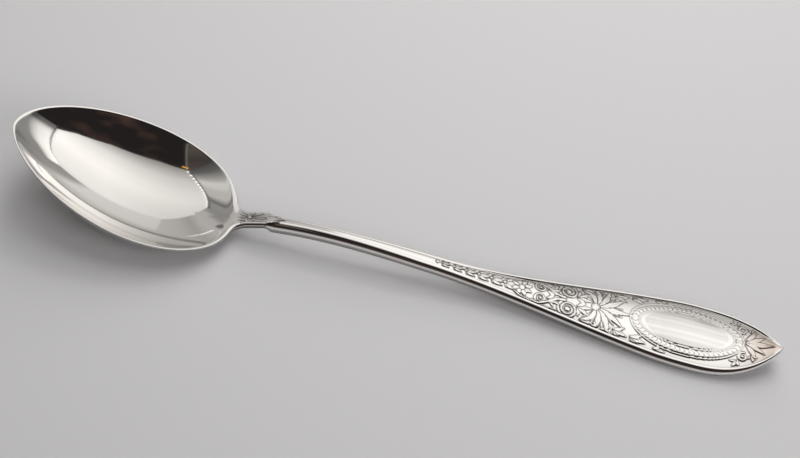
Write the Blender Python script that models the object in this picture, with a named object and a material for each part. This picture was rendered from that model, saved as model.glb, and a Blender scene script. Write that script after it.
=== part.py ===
"""A child's spoon in solid silver, built as a silversmith builds one.

The bowl and its short tang are dished from one sheet. The handle is a separate struck bar with fully
rounded sides that flares to a pointed end. A groove sets its rolled edges off from a sunk, crowned
field with a raised oval frame. A film of solder joins the handle to the end of the tang.

Metres, +Z up. +X runs from the bowl's tip to the handle's point, and the spoon rests on Z = 0.
"""

import math

import bmesh
import bpy
import numpy as np

MM = 0.001

# Bowl and tang: one dished sheet, left thicker at the tang
BOWL_LENGTH = 43.5 * MM
BOWL_WIDTH = 29.2 * MM
TIP_FULLNESS = 0.585  # smaller makes the outline rounder at the tip
HEEL_FULLNESS = 0.45  # smaller makes it rounder at the heel
TIP_RISE = 10.34 * MM  # the rim's tip above its heel
RIM_SAG = 1.03 * MM  # how far the rim dips between tip and heel
DISH_FROM_TIP = 22.0 * MM  # middle of the hollow
DISH_DEPTH = 5.5 * MM  # the hollow's depth there, below its rim
WALL_FULLNESS = 0.12  # more makes the walls steeper at the rim
SHEET = 1.05 * MM
LIP_WIDTH = 0.36 * MM  # flat of the rim
LIP_ROUND = 0.13 * MM
LIP_EASE = 0.06 * MM  # softness of the edge between the lip and the hollow
HEEL_EASE = 0.2 * MM  # softness of the bend between the rim and the tang
TANG_LENGTH = 5.5 * MM
TANG_WIDTH = 3.6 * MM  # at the joint
TANG_TAPER = math.radians(1.5)  # how much each side closes in towards the joint
TANG_DEPTH = 1.7 * MM
TANG_ROUND = 0.7 * MM
TANG_RISE = 1.6 * MM  # from the heel up to the joint
TANG_FILLET = 2.7 * MM
THICKENING = 6.0 * MM  # length over which the sheet thickens to the tang

# Solder film between the tang and the handle
SOLDER = 0.2 * MM

# Handle: a struck bar, from the solder to the point
STEM_LENGTH = 30.1 * MM
JOINT_WIDTH = 3.4 * MM
STEM_WAIST = 3.3 * MM  # its narrowest width
WAIST_FROM_JOINT = 4.5 * MM
STEM_END_WIDTH = 4.0 * MM  # where the flare starts
END_LENGTH = 70.7 * MM  # from there to the point
FLARE_LENGTH = 63.0 * MM
FLARE_WIDTH = 17.6 * MM  # what the flare would reach without the point
POINT_FULLNESS = 11.7  # more makes the point's sides fuller
POINT_ROUND = 0.9 * MM  # its radius, seen from above
POINT_BLUNT = 0.2 * MM  # half-width of the last section
STEM_DEPTH = 2.8 * MM
MIDDLE_DEPTH = 2.3 * MM  # where the flare starts
BLADE_DEPTH = 2.1 * MM
POINT_DEPTH = 1.2 * MM
SHOULDER_LENGTH = 1.3 * MM  # slope of the stem's end under the tang
CREST_FROM_JOINT = 5.0 * MM
CREST_CLEARANCE = 2.87 * MM  # under the stem's highest point
MIDDLE_CLEARANCE = 1.83 * MM  # half way from the crest to where the handle rests
LAND_LENGTH = 8.0 * MM  # flat of the underside that rests on the table
LAND_FROM_POINT = 15.8 * MM
POINT_LIFT = 3.3 * MM

# Ornament ground on the handle's face
THREAD_WIDTH = 1.25 * MM  # rolled edge, from the outline to the groove
THREAD_SLOPE = 0.2 * MM  # width of the groove's outer side
FIELD_SINK = 0.25 * MM
FIELD_CROWN = 0.14  # rise of the field's middle, as a share of its half-width
FRAME_FROM_POINT = 18.6 * MM  # centre of the oval
FRAME_LENGTH = 20.6 * MM  # to the middle of the frame's moulding
FRAME_WIDTH = 10.0 * MM
FRAME_MOULDING = 1.7 * MM
FRAME_HEIGHT = 0.3 * MM  # above the field

# Facets
RIM_STEPS = 44
FILLET_STEPS = 6
TANG_STEPS = 3
BOWL_RINGS = 12
LIP_STEPS = 6
STEM_STATIONS = 18
FLARE_STATIONS = 40
TIP_STATIONS = 7
SIDE_STEPS = 8
FRAME_STEPS = 48

# Places worked out from those sizes
SPOON_LENGTH = BOWL_LENGTH + TANG_LENGTH + SOLDER + STEM_LENGTH + END_LENGTH
BOWL_TIP_X = -SPOON_LENGTH / 2
HEEL_X = BOWL_TIP_X + BOWL_LENGTH
TANG_END_X = HEEL_X + TANG_LENGTH
HANDLE_X = TANG_END_X + SOLDER
FLARE_X = HANDLE_X + STEM_LENGTH
POINT_X = FLARE_X + END_LENGTH
DISH_X = BOWL_TIP_X + DISH_FROM_TIP
LAND_END_X = POINT_X - LAND_FROM_POINT
LAND_START_X = LAND_END_X - LAND_LENGTH
CREST_X = HANDLE_X + CREST_FROM_JOINT
FRAME_X = POINT_X - FRAME_FROM_POINT


def clear_scene():
    for obj in list(bpy.data.objects):
        bpy.data.objects.remove(obj, do_unlink=True)


def new_collection(name):
    collection = bpy.data.collections.new(name)
    bpy.context.scene.collection.children.link(collection)
    return collection


def silver(name, colour, roughness):
    material = bpy.data.materials.new(name)
    material.use_nodes = True
    shader = material.node_tree.nodes["Principled BSDF"]
    shader.inputs["Base Color"].default_value = (*colour, 1.0)
    shader.inputs["Metallic"].default_value = 1.0
    shader.inputs["Roughness"].default_value = roughness
    return material


def add_object(name, bm, collection, material=None):
    mesh = bpy.data.meshes.new(name)
    bm.to_mesh(mesh)
    bm.free()
    obj = bpy.data.objects.new(name, mesh)
    collection.objects.link(obj)
    if material:
        mesh.materials.append(material)
        mesh.shade_smooth()
        mesh.set_sharp_from_angle(angle=math.radians(35))
    return obj


def make_cutter(obj):
    obj.hide_render = True
    obj.display_type = "WIRE"


def boolean(obj, other, operation):
    modifier = obj.modifiers.new(operation.title(), "BOOLEAN")
    modifier.operation = operation
    modifier.object = other


def spline(points):
    """A natural cubic through (place, value) pairs, as a function of the place."""
    places, values = np.array(points, float).T
    steps = np.diff(places)
    slopes = np.diff(values) / steps
    count = len(places)
    system = np.eye(count)
    bends = np.zeros(count)
    for i in range(1, count - 1):
        system[i, i - 1 : i + 2] = steps[i - 1], 2 * (steps[i - 1] + steps[i]), steps[i]
        bends[i] = 6 * (slopes[i] - slopes[i - 1])
    bends = np.linalg.solve(system, bends)

    def value(place):
        i = int(np.clip(np.searchsorted(places, place) - 1, 0, count - 2))
        after, before = place - places[i], places[i + 1] - place
        curved = (bends[i] * before**3 + bends[i + 1] * after**3) / (6 * steps[i])
        start = (values[i] / steps[i] - bends[i] * steps[i] / 6) * before
        end = (values[i + 1] / steps[i] - bends[i + 1] * steps[i] / 6) * after
        return curved + start + end

    return value


def smooth_share(low, high, value):
    share = np.clip((value - low) / (high - low), 0, 1)
    return share * share * (3 - 2 * share)


def soft_min(first, second, ease):
    """The lower of two heights, with a rounded edge where they cross."""
    return np.minimum(first, second) - ease * np.log1p(np.exp(-np.abs(first - second) / ease))


def loft(bm, rings):
    """Skins rings of points that all have the same count, and returns their vertices."""
    loops = [[bm.verts.new(point) for point in ring] for ring in rings]
    for first, second in zip(loops, loops[1:]):
        for i in range(len(first)):
            bm.faces.new((first[i - 1], first[i], second[i], second[i - 1]))
    return loops


def close_loft(bm, rings):
    """A loft with a face across each end, all facing outwards."""
    loops = loft(bm, rings)
    bm.faces.new(loops[0])
    bm.faces.new(loops[-1])
    bmesh.ops.recalc_face_normals(bm, faces=bm.faces)


def bowl_half_width(share):
    """Half-width of the bowl's outline, at a share of its length from the tip."""
    widest = TIP_FULLNESS / (TIP_FULLNESS + HEEL_FULLNESS)
    tip = (share / widest) ** TIP_FULLNESS
    heel = ((1 - share) / (1 - widest)) ** HEEL_FULLNESS
    return BOWL_WIDTH / 2 * tip * heel


def bowl_edge(turn):
    """A point of the bowl's outline: turn runs from 0 at the tip to 1 at the heel."""
    share = (1 - np.cos(np.pi * turn)) / 2
    return np.stack([BOWL_TIP_X + BOWL_LENGTH * share, bowl_half_width(share)], -1)


def bowl_outward(turn):
    step = 1e-4
    along = bowl_edge(turn + step) - bowl_edge(turn - step)
    return np.array((-along[1], along[0])) / np.hypot(*along)


def tang_half_width(x):
    return TANG_WIDTH / 2 + (TANG_END_X - x) * math.tan(TANG_TAPER)


def fillet_turn():
    """Where on the outline the fillet to the tang starts, found by halving."""
    low, high = 0.6, 0.999
    for _ in range(40):
        middle = (low + high) / 2
        centre = bowl_edge(middle) + TANG_FILLET * bowl_outward(middle)
        distance = (centre[1] - tang_half_width(centre[0])) * math.cos(TANG_TAPER)
        low, high = (middle, high) if distance > TANG_FILLET else (low, middle)
    return (low + high) / 2


def sheet_outline():
    """The flat outline of bowl and tang: tip, far side, end of the tang, near side."""
    turn = fillet_turn()
    centre = bowl_edge(turn) + TANG_FILLET * bowl_outward(turn)
    rim = bowl_edge(turn * np.linspace(0, 1, RIM_STEPS + 1))
    begin = math.atan2(*(rim[-1] - centre)[::-1]) % (2 * math.pi)
    angles = np.linspace(begin, 1.5 * math.pi - TANG_TAPER, FILLET_STEPS + 1)
    arc = centre + TANG_FILLET * np.stack([np.cos(angles), np.sin(angles)], -1)
    past_joint = TANG_END_X + 2 * TANG_DEPTH  # trimmed off again at the joint
    side = np.linspace(arc[-1], (past_joint, tang_half_width(past_joint)), TANG_STEPS + 1)
    far = np.concatenate([rim, arc[1:], side[1:]])
    return np.concatenate([far, far[:0:-1] * (1, -1)])


def inset_outline(outline, distances):
    """The outline moved inwards by a distance at each of its points, with mitred corners."""
    along = np.roll(outline, -1, axis=0) - outline
    after = np.stack([along[:, 1], -along[:, 0]], -1) / np.hypot(*along.T)[:, None]
    before = np.roll(after, 1, axis=0)
    mitre = (before + after) / (1 + (before * after).sum(axis=1))[:, None]
    return outline + mitre * distances[:, None]


def tang_share(x):
    """0 in the bowl and 1 in the tang."""
    return smooth_share(HEEL_X - 0.8 * THICKENING, HEEL_X + 0.2 * THICKENING, x)


def rim_height(x):
    """Rim and top of the tang above the heel: a sagging line to the tip, a straight one to the joint."""
    share = (x - BOWL_TIP_X) / BOWL_LENGTH
    rim = TIP_RISE * (1 - share) - RIM_SAG * 4 * share * (1 - share)
    tang = TANG_RISE * (x - HEEL_X) / TANG_LENGTH
    return -soft_min(-rim, -tang, HEEL_EASE)


def hollow_level(x, y):
    """0 in the middle of the hollow and 1 at its edge. The level lines change from egg to ellipse."""
    edge = bowl_edge(np.linspace(0, 1, 400)) - (DISH_X, 0.0)
    reach = np.hypot(*edge.T) - LIP_WIDTH
    directions = np.arctan2(edge[:, 1], edge[:, 0])
    across, along = np.abs(y), x - DISH_X
    direction = np.arctan2(across, along)
    distance = np.hypot(along, across)
    egg = 1 / np.interp(direction, directions[::-1], reach[::-1]) ** 2
    half_length, half_width = BOWL_LENGTH / 2 - LIP_WIDTH, BOWL_WIDTH / 2 - LIP_WIDTH
    ellipse = (np.cos(direction) / half_length) ** 2 + (np.sin(direction) / half_width) ** 2
    nearness = np.clip(distance**2 * egg, 0, 1)
    return distance**2 * (ellipse * (1 - nearness) + egg * nearness)


def sheet_height(x, y):
    """Height of the sheet's upper face above the heel: the rim and tang, less the dished hollow."""
    share = (x - BOWL_TIP_X) / BOWL_LENGTH
    lid = TIP_RISE * (1 - share) - RIM_SAG * 4 * share * (1 - share)
    level = hollow_level(x, y)
    dish = lid - DISH_DEPTH * (1 - level) * (1 + WALL_FULLNESS * level)
    return soft_min(dish, rim_height(x), LIP_EASE)


def heel_height():
    """Height of the heel that sets the bowl's underside on the table."""
    x = np.linspace(BOWL_TIP_X + LIP_WIDTH, HEEL_X - LIP_WIDTH, 400)
    return SHEET - sheet_height(x, np.zeros(400)).min()


HEEL_Z = heel_height()
JOINT_Z = HEEL_Z + TANG_RISE


def sheet_points(plan, drop=0.0):
    """Points of the upper face over a plan, or below it by a drop."""
    return np.column_stack([plan, HEEL_Z + sheet_height(*plan.T) - drop])


def lower_points(plan):
    """Points of the lower face: a sheet's thickness from the upper one, square to its slope."""
    x, y = plan.T
    step = 0.02 * MM
    slope_x = (sheet_height(x + step, y) - sheet_height(x - step, y)) / (2 * step)
    slope_y = (sheet_height(x, y + step) - sheet_height(x, y - step)) / (2 * step)
    normal = np.column_stack([-slope_x, -slope_y, np.ones_like(x)])
    normal /= np.linalg.norm(normal, axis=1)[:, None]
    thickness = SHEET + (TANG_DEPTH - SHEET) * tang_share(x)
    return sheet_points(plan) - normal * thickness[:, None]


def lip_rings(outline):
    """The rounded edge, from the flat of the lip round to the top of the outer wall."""
    radius = LIP_ROUND + (TANG_ROUND - LIP_ROUND) * tang_share(outline[:, 0])
    rings = []
    for angle in np.radians(np.linspace(90, -60, LIP_STEPS)):
        plan = inset_outline(outline, radius * (1 - math.cos(angle)))
        rings.append(sheet_points(plan, radius * (1 - math.sin(angle))))
    return rings


def build_bowl(collection, cutters, material):
    """The dished sheet: rings from the hollow's middle over the lip and back under it."""
    outline = sheet_outline()
    width = LIP_WIDTH + (1.1 * TANG_ROUND - LIP_WIDTH) * tang_share(outline[:, 0])
    edge = inset_outline(outline, width)
    middle = np.array((DISH_X, 0.0))
    plans = [middle + (edge - middle) * (i + 1) / BOWL_RINGS for i in range(BOWL_RINGS)]
    rings = [sheet_points(plan) for plan in plans]
    rings += lip_rings(outline)
    rings += [lower_points(plan) for plan in plans[-2::-1]]
    bm = bmesh.new()
    close_loft(bm, rings)
    obj = add_object("bowl", bm, collection, material)
    boolean(obj, tang_trimmer(cutters), "DIFFERENCE")
    return obj


def tang_trimmer(cutters):
    """Saws the tang off square at the joint."""
    bm = bmesh.new()
    size = 6 * (TANG_WIDTH + TANG_DEPTH)
    bmesh.ops.create_cube(bm, size=size)
    bmesh.ops.translate(bm, vec=(TANG_END_X + size / 2, 0, JOINT_Z), verts=bm.verts)
    trimmer = add_object("tang_trimmer", bm, cutters)
    make_cutter(trimmer)
    return trimmer


def handle_half_width(x):
    """The handle's outline: a waisted stem, then a half-wave flare that closes in a point."""
    if x < FLARE_X:
        stem = spline(
            (
                (HANDLE_X, JOINT_WIDTH / 2),
                (HANDLE_X + WAIST_FROM_JOINT, STEM_WAIST / 2),
                (FLARE_X, STEM_END_WIDTH / 2),
            )
        )
        return stem(x)
    wave = math.sin(math.pi / 2 * min((x - FLARE_X) / FLARE_LENGTH, 1.0)) ** 2
    flare = (STEM_END_WIDTH + (FLARE_WIDTH - STEM_END_WIDTH) * wave) / 2
    pointed = flare * (1 - ((x - FLARE_X) / END_LENGTH) ** POINT_FULLNESS)
    left = max(POINT_X - x, 0.0)
    rounding = 2 * POINT_ROUND * left * math.exp(-left / (2.2 * POINT_ROUND))
    return max(math.sqrt(pointed**2 + rounding), POINT_BLUNT)


def handle_depth(x):
    depth = spline(
        (
            (HANDLE_X, STEM_DEPTH),
            (CREST_X, STEM_DEPTH),
            (FLARE_X, MIDDLE_DEPTH),
            (LAND_START_X, BLADE_DEPTH),
            (LAND_END_X, BLADE_DEPTH),
            (POINT_X, POINT_DEPTH),
        )
    )
    return depth(x)


def handle_underside(x):
    """Height of the underside: an arch from the joint to the land, then a lift to the point."""
    if x > LAND_START_X:
        past_land = max(x - LAND_END_X, 0.0)
        return POINT_LIFT * (past_land / LAND_FROM_POINT) ** 2
    middle = (CREST_X + LAND_START_X) / 2
    arch = spline(
        (
            (HANDLE_X, JOINT_Z - STEM_DEPTH),
            (CREST_X, CREST_CLEARANCE),
            (middle, MIDDLE_CLEARANCE),
            (LAND_START_X, 0.0),
        )
    )
    return arch(x)


def handle_face(x):
    return handle_underside(x) + handle_depth(x)


def field_half_width(x):
    half = handle_half_width(x)
    return max(half - THREAD_WIDTH, 0.24 * half)


def field_height(x, y):
    """Height of the sunk, crowned field, from the top of the rolled edges."""
    field = field_half_width(x)
    sink = FIELD_SINK * min(1.6 * field / THREAD_WIDTH, 1.0) * smooth_share(0, 2 * THREAD_WIDTH, POINT_X - x)
    return FIELD_CROWN * field * (1 - (y / field) ** 2) - sink


def handle_section(x, depth):
    """One cross-section: crowned field, groove, and a full half-round at each side."""
    half = handle_half_width(x)
    field = field_half_width(x)
    upright = depth / 2
    across = min(upright, 0.84 * half)
    crest = min(field + THREAD_SLOPE, (field + half) / 2)
    far = [(share * field, field_height(x, share * field)) for share in (0.0, 0.5, 1.0)]
    first = math.acos(np.clip((crest - half + across) / across, 0.0, 1.0))
    for angle in np.linspace(first, -math.pi / 2, SIDE_STEPS):
        far.append((half - across * (1 - math.cos(angle)), upright * (math.sin(angle) - 1)))
    near = [(-y, z) for y, z in far[:0:-1]]
    top = handle_face(x)
    return [(x, y, top + z) for y, z in (*far, *near)]


def handle_stations():
    stem = np.linspace(HANDLE_X + SHOULDER_LENGTH, FLARE_X, STEM_STATIONS)
    share = np.linspace(0, 1, FLARE_STATIONS)
    end = FLARE_X + (END_LENGTH - 2 * POINT_ROUND) * share ** 0.8  # closer together towards the point
    tip = POINT_X - 2 * POINT_ROUND * np.linspace(1, 0, TIP_STATIONS)[1:] ** 2
    clear = 0.5 * MM
    on_land = (LAND_START_X - clear, LAND_END_X + clear)
    others = [x for x in (*stem[:-1], *end, *tip) if not on_land[0] < x < on_land[1]]
    return sorted((*others, LAND_START_X, LAND_END_X))


def build_handle(collection, cutters, material):
    rings = [handle_section(HANDLE_X, TANG_DEPTH)]
    rings += [handle_section(x, handle_depth(x)) for x in handle_stations()]
    bm = bmesh.new()
    close_loft(bm, rings)
    handle = add_object("handle", bm, collection, material)
    boolean(handle, frame_moulding(cutters), "UNION")
    return handle


def frame_moulding(cutters):
    """The raised oval: a closed ring that follows the field, mostly sunk in it."""
    curve = bpy.data.curves.new("frame_moulding", "CURVE")
    curve.dimensions = "3D"
    curve.bevel_depth = FRAME_MOULDING / 2
    curve.bevel_resolution = 2
    path = curve.splines.new("POLY")
    path.points.add(FRAME_STEPS - 1)
    path.use_cyclic_u = True
    for i, point in enumerate(path.points):
        angle = 2 * math.pi * i / FRAME_STEPS
        x = FRAME_X + FRAME_LENGTH / 2 * math.cos(angle)
        y = FRAME_WIDTH / 2 * math.sin(angle)
        field = handle_face(x) + field_height(x, y)
        point.co = (x, y, field + FRAME_HEIGHT - FRAME_MOULDING / 2, 1.0)
    drawn = bpy.data.objects.new("frame_curve", curve)
    cutters.objects.link(drawn)
    bpy.context.view_layer.update()
    evaluated = drawn.evaluated_get(bpy.context.evaluated_depsgraph_get())
    mesh = bpy.data.meshes.new_from_object(evaluated)
    bpy.data.objects.remove(drawn, do_unlink=True)
    bm = bmesh.new()
    bm.from_mesh(mesh)
    bmesh.ops.remove_doubles(bm, verts=bm.verts, dist=1e-6)
    bmesh.ops.recalc_face_normals(bm, faces=bm.faces)
    moulding = add_object("frame_moulding", bm, cutters)
    make_cutter(moulding)
    return moulding


def build_solder(collection, material):
    """The film that fills the joint: a plate with half-round sides."""
    radius = TANG_DEPTH / 2
    flat = TANG_WIDTH / 2 - radius
    far = np.radians(np.linspace(90, -90, SIDE_STEPS))
    side = [(flat + radius * math.cos(angle), JOINT_Z + radius * (math.sin(angle) - 1)) for angle in far]
    section = side + [(-y, z) for y, z in side[::-1]]
    bm = bmesh.new()
    close_loft(bm, [[(x, y, z) for y, z in section] for x in (TANG_END_X, HANDLE_X)])
    return add_object("solder_seam", bm, collection, material)


def build_spoon():
    clear_scene()
    parts = new_collection("child_spoon")
    cutters = new_collection("cutters")
    polished = silver("polished_silver", (0.92, 0.91, 0.89), 0.08)
    struck = silver("struck_silver", (0.90, 0.89, 0.87), 0.16)
    joint = silver("solder_silver", (0.80, 0.79, 0.76), 0.3)
    build_bowl(parts, cutters, polished)
    build_solder(parts, joint)
    build_handle(parts, cutters, struck)


build_spoon()
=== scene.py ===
# %% [markdown]
# # A child's silver spoon
# A spoon like this is three pieces of silver: a bowl with a short tang, dished from one sheet; a handle,
# struck between two dies so that its ornament stands in relief; and the film of solder that joins them.
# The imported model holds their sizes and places. This lesson gives each of them its fine surface.

# %% Load the fixed frame
import math

import bpy
import numpy as np
from mathutils import Matrix, Vector


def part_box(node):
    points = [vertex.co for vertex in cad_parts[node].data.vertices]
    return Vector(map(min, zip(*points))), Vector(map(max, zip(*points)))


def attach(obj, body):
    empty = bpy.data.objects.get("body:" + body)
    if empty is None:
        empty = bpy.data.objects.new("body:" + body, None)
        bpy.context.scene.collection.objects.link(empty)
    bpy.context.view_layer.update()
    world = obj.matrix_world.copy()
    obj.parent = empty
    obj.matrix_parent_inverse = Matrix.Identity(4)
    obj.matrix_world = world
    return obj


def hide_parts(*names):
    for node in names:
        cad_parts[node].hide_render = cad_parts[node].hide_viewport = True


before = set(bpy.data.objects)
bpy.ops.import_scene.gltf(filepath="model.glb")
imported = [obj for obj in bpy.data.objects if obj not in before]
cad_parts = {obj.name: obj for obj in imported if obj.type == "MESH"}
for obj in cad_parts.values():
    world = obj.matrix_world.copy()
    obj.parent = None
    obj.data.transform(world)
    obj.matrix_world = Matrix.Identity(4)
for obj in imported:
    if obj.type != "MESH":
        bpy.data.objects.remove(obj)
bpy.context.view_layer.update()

# %% [markdown]
# ## Sizes
# Everything is in metres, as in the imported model. The places come from the frame's own boxes, and only
# the sizes that a box can't tell are written here, with the same names as in the part.

# %% Sizes of the bowl and the tang
MM = 0.001
BOWL_LENGTH = 43.5 * MM
BOWL_WIDTH = 29.2 * MM
TIP_FULLNESS = 0.585
HEEL_FULLNESS = 0.45
TIP_RISE = 10.34 * MM
RIM_SAG = 1.03 * MM
DISH_FROM_TIP = 22.0 * MM
DISH_DEPTH = 5.5 * MM
WALL_FULLNESS = 0.12
SHEET = 1.05 * MM
LIP_WIDTH = 0.36 * MM
LIP_ROUND = 0.13 * MM
LIP_EASE = 0.06 * MM
HEEL_EASE = 0.2 * MM
HEEL_SOFT = 0.45 * MM
TANG_LENGTH = 5.5 * MM
TANG_WIDTH = 3.6 * MM
TANG_TAPER = math.radians(1.5)
TANG_DEPTH = 1.7 * MM
TANG_ROUND = 0.7 * MM
TANG_RISE = 1.6 * MM
TANG_FILLET = 2.7 * MM
THICKENING = 6.0 * MM
CLEAR = 0.02 * MM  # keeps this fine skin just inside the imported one

TANG_END_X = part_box("bowl")[1].x
HEEL_X = TANG_END_X - TANG_LENGTH
BOWL_TIP_X = HEEL_X - BOWL_LENGTH
DISH_X = BOWL_TIP_X + DISH_FROM_TIP
print("bowl tip", round(BOWL_TIP_X, 4), "heel", round(HEEL_X, 4), "joint", round(TANG_END_X, 4))

# %% [markdown]
# ## Camera
# The photograph looks down on the spoon from the side of its near edge, with a longish lens and the
# camera turned, so that the spoon runs downhill across the picture.

# %% Camera
CAMERA_PLACE = Vector((-21.77, -250.24, 288.90)) * MM
CAMERA_AZIMUTH = math.radians(-4.61)
CAMERA_ELEVATION = math.radians(47.9)
CAMERA_ROLL = math.radians(17.32)
FOCAL_PIXELS = 2017.5
IMAGE_WIDTH = 800
SENSOR = 36.0
NEAREST_SEEN = 0.01


def aim_camera():
    level = Vector((math.cos(CAMERA_AZIMUTH), math.sin(CAMERA_AZIMUTH), 0))
    ahead = Vector((-math.sin(CAMERA_AZIMUTH), math.cos(CAMERA_AZIMUTH), 0))
    ahead = ahead * math.cos(CAMERA_ELEVATION) - Vector((0, 0, math.sin(CAMERA_ELEVATION)))
    upright = level.cross(ahead)
    right = level * math.cos(CAMERA_ROLL) + upright * math.sin(CAMERA_ROLL)
    up = upright * math.cos(CAMERA_ROLL) - level * math.sin(CAMERA_ROLL)
    turn = Matrix((right, up, -ahead)).transposed().to_4x4()
    return Matrix.Translation(CAMERA_PLACE) @ turn


camera_data = bpy.data.cameras.new("camera")
camera_data.sensor_width = SENSOR
camera_data.lens = FOCAL_PIXELS * SENSOR / IMAGE_WIDTH
camera_data.clip_start = NEAREST_SEEN
camera = bpy.data.objects.new("camera", camera_data)
bpy.context.scene.collection.objects.link(camera)
camera.matrix_world = aim_camera()
bpy.context.scene.camera = camera
bpy.context.scene.view_settings.view_transform = "Standard"
print("camera lens", round(camera_data.lens, 1), "mm")

# %% [markdown]
# ## Helpers
# Each piece starts as a primitive. A flat grid can be rolled into any closed bar or dish: a formula sets
# all its points at once, and the edges that meet are merged.

# %% Helpers for points
MERGE_DISTANCE = 1e-6


def deselect():
    for obj in bpy.context.selected_objects:
        obj.select_set(False)


def set_points(mesh, points):
    mesh.vertices.foreach_set("co", np.asarray(points, float).ravel())
    mesh.update()


def edit_all():
    bpy.ops.object.mode_set(mode="EDIT")
    bpy.ops.mesh.select_all(action="SELECT")


def stop_editing():
    """Turns all faces outwards and leaves edit mode."""
    bpy.ops.mesh.select_all(action="SELECT")
    bpy.ops.mesh.normals_make_consistent(inside=False)
    bpy.ops.object.mode_set(mode="OBJECT")


def close_ends():
    """Fills the open ends of a rolled bar."""
    edit_all()
    bpy.ops.mesh.fill_holes(sides=0)
    stop_editing()


def rolled_grid(name, points, attributes={}):
    """A grid primitive with its points set, then merged where rows or columns meet."""
    rows, columns = points.shape[:2]
    deselect()
    bpy.ops.mesh.primitive_grid_add(x_subdivisions=columns - 1, y_subdivisions=rows - 1)
    piece = bpy.context.object
    piece.name = name
    set_points(piece.data, points)
    for key, values in attributes.items():
        piece.data.attributes.new(key, "FLOAT", "POINT").data.foreach_set("value", values.ravel())
    edit_all()
    bpy.ops.mesh.remove_doubles(threshold=MERGE_DISTANCE)
    stop_editing()
    return piece


print("points closer than", MERGE_DISTANCE, "m are merged")

# %% [markdown]
# ## Curves
# Three small functions make every fair line of the spoon: a smooth step, a natural cubic through a few
# points, and the lower of two heights with a rounded edge where they cross.

# %% Helpers for curves


def smoothstep(low, high, value):
    share = np.clip((value - low) / (high - low), 0, 1)
    return share * share * (3 - 2 * share)


def soft_min(first, second, ease):
    return np.minimum(first, second) - ease * np.log1p(np.exp(-np.abs(first - second) / ease))


def spline(points):
    """A natural cubic through (place, value) pairs, which takes arrays of places."""
    places, values = np.array(points, float).T
    steps = np.diff(places)
    slopes = np.diff(values) / steps
    count = len(places)
    system = np.eye(count)
    bends = np.zeros(count)
    for i in range(1, count - 1):
        system[i, i - 1 : i + 2] = steps[i - 1], 2 * (steps[i - 1] + steps[i]), steps[i]
        bends[i] = 6 * (slopes[i] - slopes[i - 1])
    bends = np.linalg.solve(system, bends)

    def value(place):
        i = np.clip(np.searchsorted(places, place) - 1, 0, count - 2)
        after, before, step = place - places[i], places[i + 1] - place, steps[i]
        curved = (bends[i] * before**3 + bends[i + 1] * after**3) / (6 * step)
        start = (values[i] / step - bends[i] * step / 6) * before
        end = (values[i + 1] / step - bends[i + 1] * step / 6) * after
        return curved + start + end

    return value


print("a smooth step a quarter of the way:", float(smoothstep(0, 1, 0.25)))

# %% [markdown]
# ## The bowl's outline
# The bowl is an egg with a slightly drawn-out tip. One formula gives its half-width along its length,
# and an arc at each side leads it into the tang.

# %% Outline of bowl and tang
RIM_STEPS = 120
FILLET_STEPS = 16
TANG_STEPS = 16
TURN_STEP = 1e-4
HALVINGS = 40


def bowl_half_width(share):
    widest = TIP_FULLNESS / (TIP_FULLNESS + HEEL_FULLNESS)
    tip = (share / widest) ** TIP_FULLNESS
    heel = ((1 - share) / (1 - widest)) ** HEEL_FULLNESS
    return BOWL_WIDTH / 2 * tip * heel


def bowl_edge(turn):
    """A point of the rim: turn runs from 0 at the tip to 1 at the heel."""
    share = (1 - np.cos(np.pi * turn)) / 2
    return np.stack([BOWL_TIP_X + BOWL_LENGTH * share, bowl_half_width(share)], -1)


def bowl_outward(turn):
    along = bowl_edge(turn + TURN_STEP) - bowl_edge(turn - TURN_STEP)
    return np.array((-along[1], along[0])) / np.hypot(*along)


def tang_half_width(x):
    return TANG_WIDTH / 2 + (TANG_END_X - x) * math.tan(TANG_TAPER)


def fillet_turn():
    """Where on the rim the fillet to the tang starts, found by halving."""
    low, high = 0.6, 0.999
    for _ in range(HALVINGS):
        middle = (low + high) / 2
        centre = bowl_edge(middle) + TANG_FILLET * bowl_outward(middle)
        distance = (centre[1] - tang_half_width(centre[0])) * math.cos(TANG_TAPER)
        low, high = (middle, high) if distance > TANG_FILLET else (low, middle)
    return (low + high) / 2


def sheet_outline():
    turn = fillet_turn()
    centre = bowl_edge(turn) + TANG_FILLET * bowl_outward(turn)
    rim = bowl_edge(turn * np.linspace(0, 1, RIM_STEPS + 1))
    begin = math.atan2(*(rim[-1] - centre)[::-1]) % (2 * math.pi)
    angles = np.linspace(begin, 1.5 * math.pi - TANG_TAPER, FILLET_STEPS + 1)
    arc = centre + TANG_FILLET * np.stack([np.cos(angles), np.sin(angles)], -1)
    past_joint = TANG_END_X + 2 * TANG_DEPTH
    side = np.linspace(arc[-1], (past_joint, tang_half_width(past_joint)), TANG_STEPS + 1)
    far = np.concatenate([rim, arc[1:], side[1:]])
    return np.concatenate([far, far[:0:-1] * (1, -1)])


def inset_outline(outline, distances):
    """The outline moved inwards by a distance at each point, with mitred corners."""
    along = np.roll(outline, -1, axis=0) - outline
    after = np.stack([along[:, 1], -along[:, 0]], -1) / np.hypot(*along.T)[:, None]
    before = np.roll(after, 1, axis=0)
    mitre = (before + after) / (1 + (before * after).sum(axis=1))[:, None]
    return outline + mitre * distances[:, None]


outline = sheet_outline()
outline = inset_outline(outline, np.full(len(outline), CLEAR))
print("outline points", len(outline))

# %% [markdown]
# ## The dish
# Hammered over a stake, a bowl comes out fair: its rim lies on a lid that sags a little and rises to
# the tip, and the hollow deepens evenly from the rim to the floor. So the height is that lid less a
# dome, and the dome's level lines change from the egg outline at the rim to an ellipse at the floor,
# which keeps the reflections smooth right through the middle.

# %% Height of the sheet
THICK_BEFORE_HEEL = 0.8 * THICKENING
EDGE_STEPS = 800
LENGTH_STEPS = 400


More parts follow.
